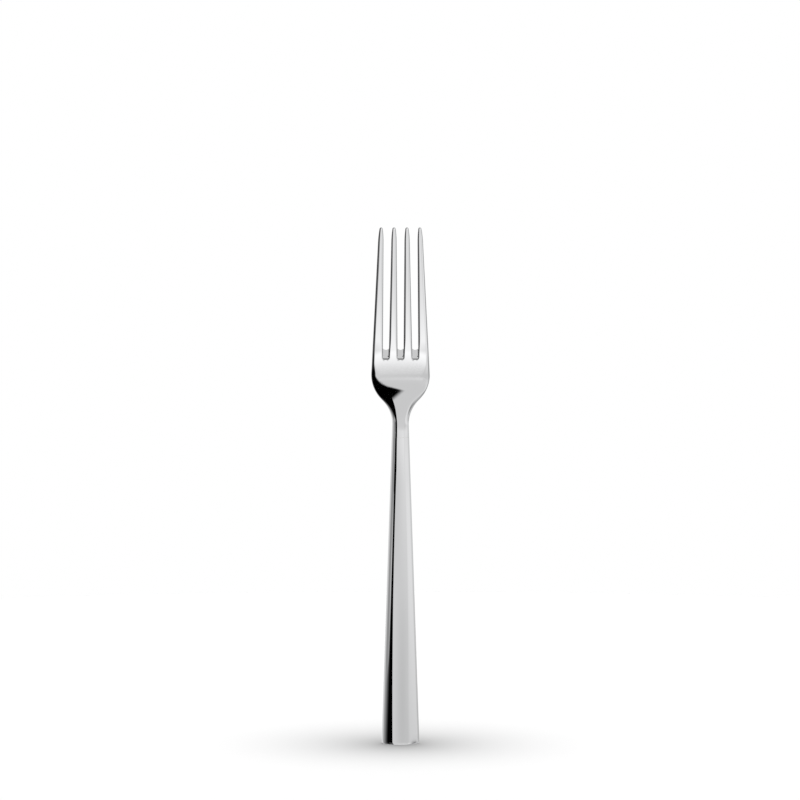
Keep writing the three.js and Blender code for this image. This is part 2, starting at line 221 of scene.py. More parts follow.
# Bright line on the horizon, glow right of the camera, the dark camera and its stand
LINE_FOOT_UP = (-2.1, -1.2, 0, 1)
LINE_UP = (-0.9, 3.5, 0.11, 0)
LINE_ROUND = (6, 12, 1, 0)
GLOW_UP = (-2, 3)
GLOW_ROUND = (-7, 7, 0, 0.14)
GLOW_END_ROUND = (9, 16, 1, 0)
LENS_UP = (-6.5, 4)
LENS_ROUND = (1.5, 8)
LENS_LEVEL = -0.13
STAND_UP = (-7.2, -6, -0.07, 0)
STAND_ROUND = (2, 8, 0, 1)
STAND_END_ROUND = (20, 45, 1, 0)
# Brighter wall on the right, darker low down and towards the back
RIGHT_ROUND = (8, 64, 0, 1)
RIGHT_SHIFT_UP = (-19, -14, -15, 0)
RIGHT_UP = (-8, -2, 0.75, 0.93)
RIGHT_FALL_UP = (-1.4, 2, 0, -0.22)
RIGHT_LOW_UP = (-14, -9, -0.1, 0)
DUSK_UP = (-10.5, -7.8, -0.35, 0)
DUSK_ROUND = (30, 56, 0, 1)
DUSK_END_ROUND = (80, 95, 1, 0)
RIGHT_BACK_ROUND = (92, 130, 0, -0.22)
RIGHT_BACK_UP = (-14, -8, 0.3, 1)
# Dark screen on the left with a slanting right edge, and the grey room beyond its left edge
SCREEN_SLANT = 0.46
SCREEN_RIGHT_UP = (-24, -10, -1, -12)
SCREEN_TOP_UP = (28.5, 30, 0, -40)
SCREEN_SOFT_UP = (-2, 20, 3, 1.1)
SCREEN_LEFT_UP = (-5.3, -4.7, -55, -61)
SCREEN_LEFT_TOP_UP = (-1.05, -0.85, 0, -5)
SCREEN_FOOT_UP = (-23, -17, 0.16, 0)
SCREEN_FOOT_ROUND = (-55, -40, 0, 1)
LEFT_FADE_UP = (-5.3, -4.7, 50, 9)
LEFT_GREY_UP = (-5.3, -4.7, 0.4, 0.34)
LEFT_BACK_ROUND = (-128, -98, 0.42, 0)
GLEAM_UP = (-2.8, 2.6)
GLEAM_PAST = (10, 7)
GLEAM_LEVEL = 0.5
LOW_LEFT_UP = (-45, -18, 0.3, 1)
# Behind the fork
BACK_ROUND = (150, 172)
BACK_LEVEL = 0.75


def share_of(value, low, high):
    """How far a value lies from low to high, kept between 0 and 1."""
    return np.clip((value - low) / (high - low), 0, 1)


def smooth_share(value, low, high):
    """The same share eased at both ends: 3 s squared less 2 s cubed."""
    share = share_of(value, low, high)
    return share * share * (3 - 2 * share)


def blend(low, high, share):
    """A value that lies a share of the way from low to high."""
    return low + (high - low) * share


def rounding_inset(radius, distance):
    """A quarter-circle edge lies radius - sqrt(radius^2 - (radius - distance)^2) inside its corner."""
    inside = np.clip(radius - distance, 0, radius)
    return radius - np.sqrt(radius * radius - inside * inside)


def rounding_stations(radius, steps):
    """Distances from an edge at which a quarter circle turns by equal angles."""
    return radius * (1 - np.cos(np.linspace(0, np.pi / 2, steps + 1)))


def smooth_outline(place, height, angle, pieces):
    """An outline of straight runs (length) and arcs (radius, end angle) that meet without corners.

    Along an arc the sine of the angle changes evenly with the place, so its height follows from
    the change in cosine times the radius. Returns a function of place and the start of each run.
    """
    runs = []
    for kind, size, end_angle in pieces:
        if kind == "arc":
            curvature = math.copysign(1 / size, end_angle - angle)
            reach = (math.sin(end_angle) - math.sin(angle)) / curvature
            rise = (math.cos(angle) - math.cos(end_angle)) / curvature
        else:
            curvature = 0
            end_angle = angle
            reach = size * math.cos(angle)
            rise = size * math.sin(angle)
        runs.append((place, height, angle, curvature))
        place += reach
        height += rise
        angle = end_angle

    def at(spots):
        result = np.full_like(spots, runs[0][1])
        for start, level, lean, curvature in runs:
            along = spots - start
            if curvature:
                sine = np.clip(math.sin(lean) + curvature * along, -1, 1)
                run = level + (math.cos(lean) - np.sqrt(1 - sine * sine)) / curvature
            else:
                run = level + along * math.tan(lean)
            result = np.where(along >= 0, run, result)
        return result

    return at, [run[0] for run in runs]


handle_taper = math.atan((BUTT_WIDTH - MOUTH_WIDTH) / 2 / MOUTH)
head_half_width, width_starts = smooth_outline(MOUTH, MOUTH_WIDTH / 2, -handle_taper, [
    ("straight", NECK_LENGTH, 0),
    ("arc", SHOULDER_HOLLOW_RADIUS, SHOULDER_ANGLE),
    ("straight", SHOULDER_STRAIGHT, 0),
    ("arc", SHOULDER_ROUND_RADIUS, -HEAD_TAPER),
    ("straight", TIPS, 0),
])
WIDEST = width_starts[-1]
SLOT_ROOT = WIDEST + PLATE_LENGTH
SLOT_BACK = SLOT_ROOT + SLOT_RAMP
facet_lean = math.atan((BUTT_THICKNESS - MOUTH_THICKNESS) / 2 / MOUTH)
front_face, _ = smooth_outline(MOUTH, -MOUTH_THICKNESS / 2, facet_lean, [
    ("straight", BEND_START, 0),
    ("arc", NECK_BEND_RADIUS, NECK_LEAN),
    ("arc", BOWL_RADIUS, -PLATE_LEAN),
    ("arc", PLATE_BEND_RADIUS, -TINE_LEAN),
    ("arc", TINE_BEND_RADIUS, -math.pi / 2),
])


def handle_sizes(z):
    """Half width, facet half width, and depths in front of and behind the seam, all straight tapers."""
    share = z / MOUTH
    half_thickness = blend(BUTT_THICKNESS, MOUTH_THICKNESS, share) / 2
    half_width = blend(BUTT_WIDTH, MOUTH_WIDTH, share) / 2
    facet_half = blend(BUTT_FACET_WIDTH, MOUTH_FACET_WIDTH, share) / 2
    return half_width, facet_half, half_thickness + SEAM, half_thickness - SEAM


def crease_shift(z):
    """How far out each crease lies from its straight line: drawn in at the butt, bowed out further up.

    The bow is a parabola from the butt to CREASE_BOW_END of the handle.
    """
    share = z / MOUTH
    bow = np.clip(share * (CREASE_BOW_END - share), 0, None) / (CREASE_BOW_END / 2) ** 2
    return CREASE_BOW * bow - CREASE_DRAW * (1 - share)


def tip_narrowing(z):
    """What each side of a tine loses towards its tip: a square-law taper, then a round end."""
    share = share_of(z, TIPS - TIP_TAPER_LENGTH, TIPS)
    return TIP_TAPER * share * share + rounding_inset(TIP_RADIUS, TIPS - z)


def slot_sizes(z):
    """Half the width of a slot and the spacing between slots. Below the slots both are as at their roots."""
    along = share_of(z, SLOT_ROOT, TIPS)
    half_width = blend(SLOT_ROOT_WIDTH, SLOT_TIP_WIDTH, along) / 2 + tip_narrowing(z)
    return half_width, blend(SLOT_ROOT_SPACING, SLOT_TIP_SPACING, along)


def edge_round(z):
    """Width of the rounding along the slots, less where the tines get narrow."""
    slot_half, spacing = slot_sizes(z)
    inner_tine = spacing - 2 * slot_half
    outer_tine = head_half_width(z) - tip_narrowing(z) - spacing - slot_half
    limit = EDGE_SHARE * np.minimum(inner_tine, outer_tine)
    return np.where(z < SLOT_ROOT, EDGE_ROUND, np.minimum(EDGE_ROUND, limit))


def flank_turns(crease):
    """Ellipse angles from the seam (a quarter turn) to the crease, with one close to the crease."""
    shares = np.append(np.linspace(1, 0, FLANK_STEPS + 1)[:-1], [CREASE_SUPPORT, 0])
    return crease + (np.pi / 2 - crease) * shares


def edge_depth(out):
    """Depth of a soft edge rounding, from 1 on the face to 0 at the edge: sqrt(1 - out ^ EDGE_POWER)."""
    return np.sqrt(np.clip(1 - out ** EDGE_POWER, 0, 1))


def section(half_width, facet_half, crease):
    """Half a section from the left seam to the right seam, for a column of rows.

    Where there is a crease each flank is part of an ellipse: across = half width - reach (1 - sin turn),
    and depth as a share of the facet's depth = cos turn / cos crease. As the crease fades the flank
    turns into the soft rounding of an edge. The facet between the flanks is flat.
    """
    turns = flank_turns(crease)
    reach = (half_width - facet_half) / (1 - np.sin(crease))
    flank = half_width - reach * (1 - np.sin(turns))
    out = (np.sin(turns) - np.sin(crease)) / (1 - np.sin(crease))
    flank_depth = blend(edge_depth(out), np.cos(turns) / np.cos(crease), crease / CREASE_ANGLE)
    facet_shares = np.linspace(-1, 1, FACET_STEPS + 1)[1:-1]
    facet_shares = np.concatenate([[CREASE_SUPPORT - 1], facet_shares, [1 - CREASE_SUPPORT]]).reshape(1, -1)
    facet = facet_half * facet_shares
    across = np.concatenate([-flank, facet, flank[:, ::-1]], axis=1)
    depth = np.concatenate([flank_depth, np.ones_like(facet), flank_depth[:, ::-1]], axis=1)
    return across, depth


def facet_bulge(facet_half, crown):
    """A facet's slight crown: a shallow parabola across it that leans by the crown angle at its edges."""
    def at(across):
        return np.tan(crown) / 2 * np.clip(facet_half - across * across / facet_half, 0, None)
    return at


def grid_faces(index, active=None):
    """Quads between neighbouring rows and columns of a table of vertex numbers."""
    quads = np.stack([index[:-1, :-1], index[:-1, 1:], index[1:, 1:], index[1:, :-1]], axis=-1)
    return quads.reshape(-1, 4) if active is None else quads[active]


def metal_piece(name, points, faces, extra_faces=()):
    """A closed, smooth-shaded mesh at the origin, with the joins between its sheets merged."""
    mesh = bpy.data.meshes.new(name)
    mesh.from_pydata(points.reshape(-1, 3).tolist(), [], faces.tolist() + list(extra_faces))
    shape = bmesh.new()
    shape.from_mesh(mesh)
    bmesh.ops.remove_doubles(shape, verts=shape.verts, dist=JOIN_DISTANCE)
    bmesh.ops.dissolve_degenerate(shape, edges=shape.edges, dist=JOIN_DISTANCE)
    shape.to_mesh(mesh)
    shape.free()
    mesh.shade_smooth()
    mesh.set_sharp_from_angle(angle=SHARP_ANGLE)
    piece = bpy.data.objects.new(name, mesh)
    bpy.context.collection.objects.link(piece)
    return piece


def column(values):
    """Numbers as a column, with one for each row of a grid."""
    return np.asarray(values, float).reshape(-1, 1)


def shell_skin(name, rim, outward):
    """One handle shell as a single sheet: butt face, outside, mouth rim, inside and inner butt wall.

    Rows follow that path, columns go from seam to seam, and the sheet's whole edge lies in the
    plane of the rim, where one flat face closes it.
    """
    rounding = np.union1d(rounding_stations(BUTT_CORNER_RADIUS, ROUND_STEPS),
                          rounding_stations(BUTT_EDGE_RADIUS, ROUND_STEPS))
    outside = np.append(rounding, np.linspace(BUTT_CORNER_RADIUS, MOUTH, HANDLE_ROWS)[1:])
    inside = np.linspace(MOUTH, BUTT_WALL, HANDLE_ROWS)
    heights = column(np.concatenate([[0], outside, inside, [BUTT_WALL]]))
    is_inside = column(np.arange(len(heights)) > len(outside))
    is_edge = column(np.isin(np.arange(len(heights)), [0, len(heights) - 1]))
    half_width, facet_half, front_depth, back_depth = handle_sizes(heights)
    depth = (front_depth if outward < 0 else back_depth) - abs(rim - SEAM)
    wall = SHELL_WALL * is_inside
    corner = rounding_inset(BUTT_CORNER_RADIUS, heights) * (1 - is_inside)
    facet_half = facet_half * (half_width - wall) / half_width + crease_shift(heights) * (1 - is_inside)
    facet_half = facet_half - corner
    half_width = half_width - wall - corner
    depth = depth - wall - rounding_inset(BUTT_EDGE_RADIUS, heights) * (1 - is_inside)
    across, depth_share = section(half_width, facet_half, np.full_like(heights, CREASE_ANGLE))
    crown = facet_bulge(facet_half, FACET_CROWN)(across)
    back = rim + outward * (depth * depth_share + crown) * (1 - is_edge)
    points = np.stack([across, back, np.broadcast_to(heights, across.shape)], axis=-1)
    index = np.arange(across.size).reshape(across.shape)
    if outward > 0:
        index = index[:, ::-1]
    rim_loop = np.concatenate([index[:, 0], index[-1, 1:], index[-2::-1, -1], index[0, -2:0:-1]])
    return metal_piece(name, points, grid_faces(index), [rim_loop.tolist()])


def neck_ring_skin(name):
    """The braze ring: a flat band that goes round the neck between the handle and the head."""
    foot = MOUTH + HAIRLINE_GAP
    top = NECK_FOOT - HAIRLINE_GAP
    levels = column([foot, top, top, foot])
    half_width, facet_half, front_depth, back_depth = handle_sizes(levels)
    wall = SHELL_WALL * column([0, 0, 1, 1])
    crown = facet_bulge(facet_half, FACET_CROWN)
    facet_half = facet_half * (half_width - wall) / half_width
    across, share = section(half_width - wall, facet_half, np.full_like(levels, CREASE_ANGLE))
    heights = np.broadcast_to(levels, across.shape)
    front = np.stack([across, SEAM - (front_depth - wall) * share - crown(across), heights], axis=-1)
    back = np.stack([across, SEAM + (back_depth - wall) * share + crown(across), heights], axis=-1)
    points = np.concatenate([front, back[:, ::-1]], axis=1)
    index = np.arange(points.shape[0] * points.shape[1]).reshape(points.shape[:2])
    index = np.concatenate([index, index[:1]], axis=0)
    index = np.concatenate([index, index[:, :1]], axis=1)
    return metal_piece(name, points, grid_faces(index))


def tang_and_spigot():
    """Rows of the head that stand inside the handle: the tang from its closed tip up, then the spigot."""
    foot = MOUTH - SPIGOT_LENGTH
    mouth_width, mouth_facet, mouth_front, mouth_back = handle_sizes(MOUTH)
    fit = SHELL_WALL + SPIGOT_CLEARANCE
    spigot_width = mouth_width - fit
    spigot = dict(half_width=spigot_width, facet=mouth_facet * spigot_width / mouth_width,
                  front=mouth_front - fit, back=mouth_back - fit, crease=CREASE_ANGLE, middle=SEAM)
    tang = dict(half_width=TANG_WIDTH / 2, facet=TANG_WIDTH / 2 - TANG_EDGE, front=TANG_THICKNESS / 2,
                back=TANG_THICKNESS / 2, crease=0, middle=0)
    tang_tip = dict(tang, half_width=TANG_TIP_WIDTH / 2, facet=TANG_TIP_WIDTH / 2 - TANG_EDGE,
                    front=TANG_TIP_THICKNESS / 2, back=TANG_TIP_THICKNESS / 2)
    closed_tip = dict(tang_tip, front=0, back=0)
    return [dict(closed_tip, z=TANG_TIP), dict(tang_tip, z=TANG_TIP), dict(tang, z=foot),
            dict(spigot, z=foot), dict(spigot, z=NECK_FOOT)]


def head_heights():
    """Heights of the rows above the handle, closest together at the roots of the slots and at the tips."""
    return np.unique(np.concatenate([
        np.linspace(NECK_FOOT, WIDEST, SHOULDER_ROWS),
        np.linspace(WIDEST, SLOT_ROOT, PLATE_ROWS),
        SLOT_ROOT + rounding_stations(SLOT_CORNER_RADIUS, ROUND_STEPS),
        np.linspace(SLOT_ROOT + SLOT_CORNER_RADIUS, SLOT_BACK - BACK_EDGE, RAMP_ROWS),
        [SLOT_BACK],
        np.linspace(SLOT_BACK, TIPS - TIP_TAPER_LENGTH, TINE_ROWS),
        np.linspace(TIPS - TIP_TAPER_LENGTH, TIPS - TIP_RADIUS, TAPER_ROWS),
        TIPS - rounding_stations(TIP_RADIUS, ROUND_STEPS),
    ]).round(HEIGHT_DIGITS))


def head_rows():
    """Sizes of the head row by row: first tang and spigot, then the neck, shoulders, plate and tines.

    From the neck up every size eases from that of the handle to that of the plate, and the depths
    follow a quarter circle to nothing at the tips.
    """
    inside = tang_and_spigot()
    z = head_heights()
    plate_share = smooth_share(z, MOUTH, WIDEST)
    thickness = blend(PLATE_THICKNESS, TIP_THICKNESS, share_of(z, WIDEST, TIPS))
    half_width = head_half_width(z) - tip_narrowing(z)
    neck_width, neck_facet, neck_front, neck_back = handle_sizes(z)
    neck_share = smooth_share(z, MOUTH, MOUTH + NECK_BLEND)
    flank = blend(neck_width - neck_facet, FLANK_SHARE * half_width, neck_share)
    outer_edge = OUTER_EDGE_SHARE * edge_round(z)
    flank = blend(flank, outer_edge, smooth_share(z, MOUTH + FLANK_START, MOUTH + FLANK_END))
    front = blend(neck_front, FRONT_SHARE * thickness, plate_share)
    back = blend(neck_back, (1 - FRONT_SHARE) * thickness, plate_share)
    crease_share = 1 - smooth_share(z, MOUTH + CREASE_START, MOUTH + CREASE_END)
    tip_close = np.sqrt(1 - share_of(TIP_RADIUS - (TIPS - z), 0, TIP_RADIUS) ** 2)
    outside = dict(z=z, half_width=half_width, facet=half_width - flank,
                   front=front * tip_close, back=back * tip_close,
                   crease=CREASE_ANGLE * crease_share, middle=front_face(z) + front)
    rows = {key: column(np.append([row[key] for row in inside], outside[key])) for key in outside}
    rows["crown"] = column(np.append(np.zeros(len(inside)), FACET_CROWN * (1 - neck_share)))
    return rows


def tine_block(left, right, rounding, round_left, round_right):
    """Columns across one tine, from its left edge to its right, with the edge shares of its depth.

    The columns of a rounded edge get closer together towards the edge.
    """
    inward = 1 - np.cos(np.linspace(0, np.pi / 2, ROUND_STEPS + 1)[:-1])
    start = left + (rounding if round_left else 0)
    end = right - (rounding if round_right else 0)
    across = [blend(start, end, np.linspace(0, 1, TINE_FLAT_STEPS + 1))]
    edge = [np.ones(TINE_FLAT_STEPS + 1)]
    if round_left:
        across.insert(0, left + rounding * inward)
        edge.insert(0, edge_depth(1 - inward))
    if round_right:
        across.append(right - rounding * inward[::-1])
        edge.append(edge_depth(1 - inward[::-1]))
    return np.concatenate(across, axis=1), np.concatenate(edge)


def band_edges(z):
    """Places of the edges of tines and slots across the facet, from left to right, and the tines' rounding.

    Below the slots the edges stay as at the slots' roots. The rounding is narrower there.
    """
    slot_z = np.maximum(z, SLOT_ROOT)
    slot_half, spacing = slot_sizes(slot_z)
    slot_half = slot_half - rounding_inset(SLOT_CORNER_RADIUS, slot_z - SLOT_ROOT)
    rounding = edge_round(slot_z)
    head_facet = head_half_width(slot_z) - tip_narrowing(slot_z) - OUTER_EDGE_SHARE * rounding
    edges = [-head_facet]
    for offset in SLOT_OFFSETS:
        edges += [offset * spacing - slot_half, offset * spacing + slot_half]
    edges.append(head_facet)
    root_share = smooth_share(slot_z, SLOT_ROOT, SLOT_BACK + ROOT_EDGE_RUN)
    return edges, rounding * blend(ROOT_EDGE_SHARE, 1, root_share)


def ramp_depth(heights, front, back):
    """Depth of the front sheet at a slot's root: a short round drop, then a straight ramp backwards."""
    drop = 1 - (1 - share_of(heights, SLOT_ROOT, SLOT_ROOT + ROOT_DROP_RUN)) ** 2
    scoop = blend(share_of(heights, SLOT_ROOT, SLOT_BACK), drop, ROOT_DROP)
    return front - RAMP_DEPTH * (front + back) * scoop


def facet_bands(rows):
    """Tines and slots by turns across the facet, with the columns of each.

    A band gives places across, depths in front and behind, dips and whether it is a slot. A dip is
    how far a point lies below its row, a parabola across the slot that ends the ramp in a shallow U.
    """
    z, front, back = rows["z"], rows["front"], rows["back"]
    edges, rounding = band_edges(z)
    below_cut = z < SLOT_BACK - BACK_EDGE / 2
    slot_shares = np.linspace(SLOT_SUPPORT, 1 - SLOT_SUPPORT, SLOT_STEPS)
    slot_dip = RAMP_DIP * share_of(z, SLOT_ROOT, SLOT_BACK) * (1 - (2 * slot_shares - 1) ** 2)
    slot_front = ramp_depth(z - slot_dip, front, back)
    slot_back = np.where(below_cut, back, -slot_front)
    tine_floor = ramp_depth(z, front, back)
    bands = []
    last_band = len(edges) - 2
    for band, (left, right) in enumerate(zip(edges, edges[1:])):
        is_slot = band % 2 == 1
        if is_slot:
            across = blend(left, right, slot_shares)
            depths = [slot_front, slot_back]
            dip = slot_dip
        else:
            across, edge = tine_block(left, right, rounding, band > 0, band < last_band)
            depths = [np.maximum(front * edge, tine_floor), np.where(below_cut, back, back * edge)]
            dip = np.zeros_like(across)
        bands.append([across / edges[-1] * rows["facet"], *depths, dip, np.full(across.shape, is_slot)])
    return bands


def flank_bands(rows):
    """The columns outside the facet as a left and a right band, given like those of the facet.

    The creases belong to the facet, and nothing dips here.
    """
    outline, depth = section(rows["half_width"], rows["facet"], rows["crease"])
    bands = []
    for columns in (slice(FLANK_STEPS + 1), slice(-FLANK_STEPS - 1, None)):
        across, share = outline[:, columns], depth[:, columns]
        depths = [share * rows["front"], share * rows["back"]]
        bands.append([across, *depths, np.zeros_like(across), np.zeros(across.shape, bool)])
    return bands


def head_skin(name):
    """The forged head as a front sheet and a back sheet over one grid of rows and columns.

    The sheets lie in front of and behind the middle surface by the local depth, and meet where the
    depth is nothing: at the outline, along the slots and at the tips, where each tine ends in one
    point. Columns follow the tines and slots. Cells of a slot above its ramp are left out. The
    middle surface follows the front face up the fork, and arches across it by x squared / 2 radius.
    """
    rows = head_rows()
    z = rows["z"]
    left_flank, right_flank = flank_bands(rows)
    bands = [left_flank, *facet_bands(rows), right_flank]
    x, front, back, dip, in_slot = (np.concatenate(parts, axis=1) for parts in zip(*bands))
    slot_column = in_slot[0]
    heights = z - dip

    # Each column's tine is counted by the slots that begin to its left
    tine = np.cumsum(np.diff(slot_column.astype(int), prepend=0) > 0)
    tip_places = [x[-1, (tine == number) & ~slot_column].mean() for number in np.unique(tine)]
    x[-1] = np.take(tip_places, tine)
    front[-1] = 0
    back[-1] = 0

    arch = smooth_share(z, MOUTH, MOUTH + NECK_BLEND)
    arch = arch * (1 - smooth_share(z, MOUTH + ARCH_START, MOUTH + ARCH_END))
    middle = rows["middle"] + arch * x * x / (2 * ARCH_RADIUS) + front_face(heights) - front_face(z)
    crown = facet_bulge(rows["facet"], rows["crown"])(x)
    points = np.stack([
        np.stack([x, middle - (front + crown), heights], axis=-1),
        np.stack([x, middle + (back + crown), heights], axis=-1),
    ])
    index = np.arange(x.size).reshape(x.shape)
    touches_slot = slot_column[:-1] | slot_column[1:]
    above_ramp = z[1:] > SLOT_BACK + JOIN_DISTANCE
    is_steel = ~(above_ramp & touches_slot)
    back_faces = grid_faces(index[:, ::-1] + x.size, is_steel[:, ::-1])
    faces = np.concatenate([grid_faces(index, is_steel), back_faces])
    used, faces = np.unique(faces, return_inverse=True)
    return metal_piece(name, points.reshape(-1, 3)[used], faces.reshape(-1, 4))


def node(tree, kind, **inputs):
    """Adds a shader node and sets or links its inputs, given by name or as input_0, input_1."""
    added = tree.nodes.new(kind)
    for key, value in inputs.items():
        number = key.removeprefix("input_")
        place = int(number) if number != key else key.replace("_", " ")
        socket = added.inputs[place]
        if isinstance(value, bpy.types.NodeSocket):
            tree.links.new(value, socket)
        else:
            socket.default_value = value
    return added


def reckon(tree, operation, *values):
    """One step of arithmetic on numbers."""
    inputs = {f"input_{place}": value for place, value in enumerate(values)}
    added = node(tree, "ShaderNodeMath", **inputs)
    added.operation = operation
    return added.outputs[0]


def reckon_vector(tree, operation, first, **inputs):
    """One step of arithmetic on vectors."""
    added = node(tree, "ShaderNodeVectorMath", input_0=first, **inputs)
    added.operation = operation
    return added.outputs["Value" if operation == "LENGTH" else "Vector"]


def total(tree, *values):
    """The sum of several numbers."""
    result = values[0]
    for value in values[1:]:
        result = reckon(tree, "ADD", result, value)
    return result


def product(tree, *values):
    """The product of several numbers."""
    result = values[0]
    for value in values[1:]:
        result = reckon(tree, "MULTIPLY", result, value)
    return result


def step(tree, value, start, end, level=0, end_level=1):
    """A smooth step of a value, from one level up to the start to another from the end on."""
    added = node(tree, "ShaderNodeMapRange", Value=value, From_Min=start, From_Max=end, To_Min=level,
                 To_Max=end_level)
    added.interpolation_type = "SMOOTHSTEP"
    return added.outputs["Result"]


def spot(tree, value, middle, reach):
    """1 where a value is at the middle, easing to 0 at the reach on both sides."""
    away = reckon(tree, "ABSOLUTE", reckon(tree, "SUBTRACT", value, middle))
    return step(tree, away, 0, reach, 1, 0)


def mixed(tree, share, low, high):
    """A number that lies a share of the way from low to high."""
    return node(tree, "ShaderNodeMix", Factor=share, A=low, B=high).outputs["Result"]


def noise(tree, place, fineness, detail):
    """Cloudy noise between 0 and 1."""
    return node(tree, "ShaderNodeTexNoise", Vector=place, Scale=fineness, Detail=detail).outputs["Fac"]


def new_material(name):
    """A new material with its node tree and its surface shader."""
    material = bpy.data.materials.new(name)
    material.use_nodes = True
    return material, material.node_tree, material.node_tree.nodes["Principled BSDF"]


def scuffs(tree, place):
    """How far fine scuffs tilt the steel: a little in the hollow of the head, and nothing elsewhere."""
    parts = node(tree, "ShaderNodeSeparateXYZ", Vector=place)
    aside = reckon(tree, "ABSOLUTE", parts.outputs["X"])
    along = spot(tree, parts.outputs["Z"], MOUTH + BOWL_HEIGHT, BOWL_REACH)
    return product(tree, along, step(tree, aside, *BOWL_SIDE, 1, 0), BOWL_SCUFF)


def polished_steel():
    """Mirror-polished stainless steel with faint lengthwise hairlines and a slightly uneven polish."""
    material, tree, shader = new_material("polished_steel")
    shader.inputs["Base Color"].default_value = STEEL_COLOUR
    shader.inputs["Metallic"].default_value = 1
    coordinates = node(tree, "ShaderNodeTexCoord")
    place = coordinates.outputs["Object"]
    drawn = node(tree, "ShaderNodeMapping", Vector=place, Scale=HAIRLINE_FINENESS)
    hairlines = noise(tree, drawn.outputs[0], 1, HAIRLINE_DETAIL)
    polish = step(tree, noise(tree, place, *STEEL_CLOUDS), *NOISE_RANGE, *STEEL_ROUGHNESS)
    tree.links.new(polish, shader.inputs["Roughness"])
    grains = node(tree, "ShaderNodeTexWhiteNoise", Vector=place).outputs["Color"]
    tilt = reckon_vector(tree, "SUBTRACT", grains, input_1=NOISE_MIDDLE)
    tilt = reckon_vector(tree, "SCALE", tilt, input_3=scuffs(tree, place))
    facing = reckon_vector(tree, "ADD", coordinates.outputs["Normal"], input_1=tilt)
    facing = reckon_vector(tree, "NORMALIZE", facing)
    relief = node(tree, "ShaderNodeBump", Strength=HAIRLINE_STRENGTH, Distance=HAIRLINE_DEPTH,
                  Normal=facing, Height=hairlines)
    tree.links.new(relief.outputs[0], shader.inputs["Normal"])
    return material


def silver_braze():
    """Braze ground flush with the steel: a touch warmer and duller, with fine grain."""
    material, tree, shader = new_material("silver_braze")
    shader.inputs["Metallic"].default_value = 1
    place = node(tree, "ShaderNodeTexCoord").outputs["Object"]
    grain = noise(tree, place, *BRAZE_GRAIN)
    tint = node(tree, "ShaderNodeMix", Factor=grain)
    tint.data_type = "RGBA"
    tint.inputs["A"].default_value, tint.inputs["B"].default_value = BRAZE_COLOURS
    tree.links.new(tint.outputs["Result"], shader.inputs["Base Color"])
    tree.links.new(step(tree, grain, *NOISE_RANGE, *BRAZE_ROUGHNESS), shader.inputs["Roughness"])
    return material


def bedding_compound():
    """Set mineral compound: dull, grey-buff and gritty."""
    material, tree, shader = new_material("bedding_compound")
    place = node(tree, "ShaderNodeTexCoord").outputs["Object"]
    grit = noise(tree, place, *COMPOUND_GRIT)
    ramp = node(tree, "ShaderNodeValToRGB", Fac=grit)
    ramp.color_ramp.elements[0].color, ramp.color_ramp.elements[1].color = COMPOUND_COLOURS
    tree.links.new(ramp.outputs["Color"], shader.inputs["Base Color"])
    shader.inputs["Roughness"].default_value = COMPOUND_ROUGHNESS
    relief = node(tree, "ShaderNodeBump", Strength=GRIT_STRENGTH, Distance=GRIT_DEPTH, Height=grit)
    tree.links.new(relief.outputs[0], shader.inputs["Normal"])
    return material


def white_floor():
    """A plain white table top under the fork, with a soft grey shade painted into its colour round the butt.

    The painted shade is its strength times exp(-r / its length) (1 - (r / its radius)^2) at a distance r.
    """
    material, tree, shader = new_material("white_floor")
    place = node(tree, "ShaderNodeTexCoord").outputs["Object"]
    away = product(tree, reckon_vector(tree, "LENGTH", place), 1 / PAINTED_SHADE_RADIUS)
    falling = reckon(tree, "EXPONENT", product(tree, away, -PAINTED_SHADE_RADIUS / PAINTED_SHADE_LENGTH))
    ending = reckon(tree, "MAXIMUM", reckon(tree, "SUBTRACT", 1, product(tree, away, away)), 0)
    # Painted shade: the floor's colour gets darker towards the butt
    shade = product(tree, falling, ending, PAINTED_SHADE_STRENGTH)
    white = product(tree, reckon(tree, "SUBTRACT", 1, shade), FLOOR_WHITE)
    colour = node(tree, "ShaderNodeCombineColor", Red=white, Green=white, Blue=white)
    tree.links.new(colour.outputs["Color"], shader.inputs["Base Color"])
    shader.inputs["Roughness"].default_value = FLOOR_ROUGHNESS
    shader.inputs["Specular IOR Level"].default_value = FLOOR_SHINE
    turns = np.linspace(0, 2 * np.pi, FLOOR_SIDES + 1)[:-1]
    rim = FLOOR_RADIUS * np.stack([np.cos(turns), np.sin(turns), np.zeros_like(turns)], axis=-1)
    mesh = bpy.data.meshes.new("floor")
    mesh.from_pydata(rim.tolist(), [], [list(range(len(turns)))])
    mesh.materials.append(material)
    floor = bpy.data.objects.new("floor", mesh)
    floor.visible_glossy = False
    bpy.context.collection.objects.link(floor)


def wall_ahead(tree, up, round_angle):
    """The wall in front of the fork, a dark ceiling, and a bright table whose far edge bows upwards."""
    side = reckon(tree, "MINIMUM", reckon(tree, "ABSOLUTE", round_angle), TABLE_BOW_REACH)
    above_table = total(tree, up, product(tree, side, side, step(tree, up, *TABLE_BOW_UP)))
    return total(
        tree,
        step(tree, up, *WALL_UP),
        step(tree, up, *WALL_RISE_UP),
        step(tree, up, *WALL_FALL_UP),
        step(tree, above_table, *TABLE_UP),
        step(tree, up, *TABLE_END_UP),
        step(tree, up, *CEILING_UP),
    )


def wall_right(tree, up, round_angle):
    """The brighter wall on the right, which gets darker low down and towards the back."""
    return total(
        tree,
        step(tree, up, *RIGHT_UP),
        step(tree, up, *RIGHT_FALL_UP),
        step(tree, up, *RIGHT_LOW_UP),
        product(tree, step(tree, up, *DUSK_UP), step(tree, round_angle, *DUSK_ROUND),
                step(tree, round_angle, *DUSK_END_ROUND)),
        product(tree, step(tree, round_angle, *RIGHT_BACK_ROUND), step(tree, up, *RIGHT_BACK_UP)),
    )


